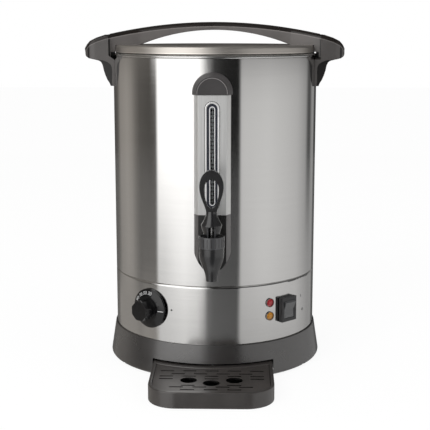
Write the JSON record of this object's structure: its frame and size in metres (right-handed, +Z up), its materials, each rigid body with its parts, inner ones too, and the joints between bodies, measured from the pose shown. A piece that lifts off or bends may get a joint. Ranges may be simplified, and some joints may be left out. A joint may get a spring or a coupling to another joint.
{
  "type": "hot water urn",
  "caption": "Round double-walled steel hot water urn with a locking lid under an arched bar handle, sight gauge, spring lever tap, thermostat dial, rocker switch and drip tray.",
  "frame": {"origin": "on the surface that the urn stands on, in the middle of its outline from the drip tray's front to the base ring's back; the body's vertical axis is 51.9 mm behind it", "axes": "+Z up, parallel to the body's axis, -Y to the front where the tap and drip tray are, +X to the right seen from the front, through the side handle by the switch"},
  "size_m": [0.365, 0.4112, 0.4827],
  "materials": {
    "body_steel": "brushed, fine horizontal grain around the body",
    "band_steel": "brushed around the body, satin",
    "tank_steel": "satin pressed sheet",
    "lid_steel": "satin pressed sheet",
    "gauge_steel": "fine brushed sheet",
    "handle_plastic": "fine grained heat-resistant plastic",
    "base_plastic": "fine grained plastic",
    "tray_plastic": "fine grained plastic",
    "grate_plastic": "fine grained plastic",
    "tap_plastic": "satin black plastic",
    "gauge_plastic": "satin black plastic",
    "dial_plastic": "gloss black plastic with white marks",
    "switch_black": "satin black plastic",
    "rocker_grey": "dark translucent cover",
    "lamp_ring": "polished",
    "red_lens": "clear red",
    "amber_lens": "clear amber",
    "scale_plastic": "dark blue-black with white marks",
    "tube_glass": "clear",
    "silicone": "soft translucent white",
    "foot_rubber": "matt",
    "zinc_steel": "zinc plated",
    "spring_steel": "bright wire",
    "aluminium": "cast",
    "element_sheath": "oxidised nickel alloy",
    "copper": "drawn copper",
    "control_plastic": "phenolic",
    "terminal_ivory": "ceramic",
    "wire_red": "silicone sleeve",
    "button_red": "gloss"
  },
  "bodies": {
    "urn": {"outer_shell": "body_steel", "inner_tank": "tank_steel", "control_band": "band_steel", "base_ring": "base_plastic", "base_plate": "zinc_steel", "rubber_feet": "foot_rubber", "base_screws": "zinc_steel", "tie_rods": "zinc_steel", "tie_nuts": "zinc_steel", "heat_spreader": "aluminium", "heating_element": "element_sheath", "thermostat": "control_plastic", "thermostat_bulb": "copper", "boil_dry_cutout": "control_plastic", "terminal_block": "terminal_ivory", "wiring": "wire_red", "cord_gland": "switch_black", "gland_nut": "switch_black", "switch_housing": "switch_black", "lamp_bodies": "lamp_ring", "heating_lamp_lens": "red_lens", "warm_lamp_lens": "amber_lens", "side_handle_left": "handle_plastic", "side_handle_right": "handle_plastic", "handle_backing_plates": "zinc_steel", "handle_screws": "zinc_steel", "gauge_cover": "gauge_steel", "gauge_cap": "gauge_plastic", "gauge_cap_screw": "zinc_steel", "gauge_scale": "scale_plastic", "gauge_tube": "tube_glass", "gauge_seals": "silicone", "tap_holder": "gauge_plastic", "tap_body": "tap_plastic", "shank_spacer": "zinc_steel", "shank_washer": "silicone", "shank_nut": "tank_steel", "tap_bonnet": "tap_plastic", "tap_spring": "spring_steel", "tray_guides": "zinc_steel"},
    "valve": {"tap_stem": "spring_steel", "seat_cup": "silicone"},
    "lever": {"tap_lever": "tap_plastic", "lever_pin": "spring_steel"},
    "dial": {"dial_knob": "dial_plastic", "thermostat_shaft": "zinc_steel"},
    "rocker": {"switch_rocker": "rocker_grey"},
    "lid_seat": {"lid_seal": "silicone"},
    "lid": {"lid_disc": "lid_steel", "lid_liner": "lid_steel", "lid_handle": "handle_plastic", "lid_screws": "zinc_steel"},
    "tray": {"drip_tray": "tray_plastic"},
    "grate": {"drip_grate": "grate_plastic"},
    "reset": {"reset_button": "button_red"}
  },
  "joints": [
    {"name": "lid_lift", "type": "slide", "parent": "urn", "child": "lid_seat", "axis": [0, 0, 1], "range_m": [0, 0.12]},
    {"name": "lid_turn", "type": "hinge", "parent": "lid_seat", "child": "lid", "pos_m": [0, 0.0519, 0.45], "axis": [0, 0, 1], "range_deg": [0, 10]},
    {"name": "valve_lift", "type": "slide", "parent": "urn", "child": "valve", "axis": [0, 0, 1], "range_m": [0, 0.0046], "deforming": ["tap_spring"]},
    {"name": "lever_tilt", "type": "hinge", "parent": "valve", "child": "lever", "pos_m": [0, -0.1431, 0.2189], "axis": [1, 0, 0], "range_deg": [0, 30], "stiffness_Nm_per_rad": 0.4, "springref_deg": -17.19},
    {"name": "dial_turn", "type": "hinge", "parent": "urn", "child": "dial", "pos_m": [-0.08922, -0.06868, 0.0935], "axis": [0.5948, 0.8039, 0], "range_deg": [0, 270]},
    {"name": "rocker_tip", "type": "hinge", "parent": "urn", "child": "rocker", "pos_m": [0.10198, -0.0537, 0.091], "axis": [-0.7193, -0.6947, 0], "range_deg": [0, 20]},
    {"name": "tray_slide", "type": "slide", "parent": "urn", "child": "tray", "axis": [0, -1, 0], "range_m": [0, 0.1]},
    {"name": "grate_lift", "type": "slide", "parent": "tray", "child": "grate", "axis": [0, 0, 1], "range_m": [0, 0.05]},
    {"name": "reset_push", "type": "slide", "parent": "urn", "child": "reset", "axis": [0, 0, 1], "range_m": [0, 0.0025], "stiffness_N_per_m": 200, "springref_m": -0.004}
  ],
  "couplings": [
    {"joint": "valve_lift", "follows": "lever_tilt", "m_per_rad": 0.0085}
  ]
}
